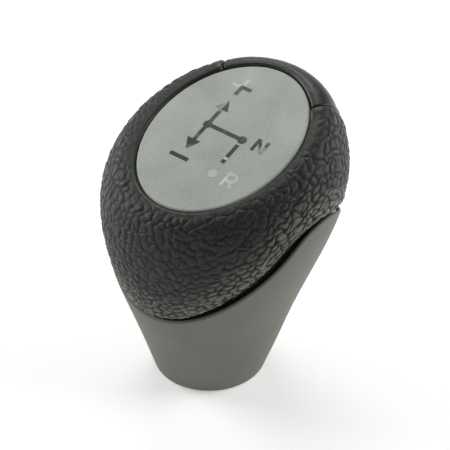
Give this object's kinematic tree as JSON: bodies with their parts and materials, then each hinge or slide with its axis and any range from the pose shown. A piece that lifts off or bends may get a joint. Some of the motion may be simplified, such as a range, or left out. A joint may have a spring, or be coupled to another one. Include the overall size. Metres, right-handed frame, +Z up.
{
  "type": "gear shift knob",
  "caption": "Gear shift knob: leather-covered egg-shaped head on a tapered neck, with an oval shift pattern plate on top and a collet inside for the lever.",
  "frame": {"origin": "on the lever's axis, in the plane of the neck's lower rim", "axes": "+Z up along the lever, +Y forward in the car, +X to the right"},
  "size_m": [0.0562, 0.0573, 0.0679],
  "materials": {
    "neck": "satin warm grey",
    "core": "plain black moulding",
    "leather": "grained black",
    "plate": "satin pale grey-green",
    "socket": "dark grey nylon",
    "ring": "spring steel"
  },
  "bodies": {
    "root": {"neck_sleeve": "neck", "head_core": "core", "leather_rear_panel": "leather", "leather_front_panel": "leather", "pattern_plate": "plate", "lever_socket": "socket", "spring_ring": "ring"}
  },
  "joints": []
}
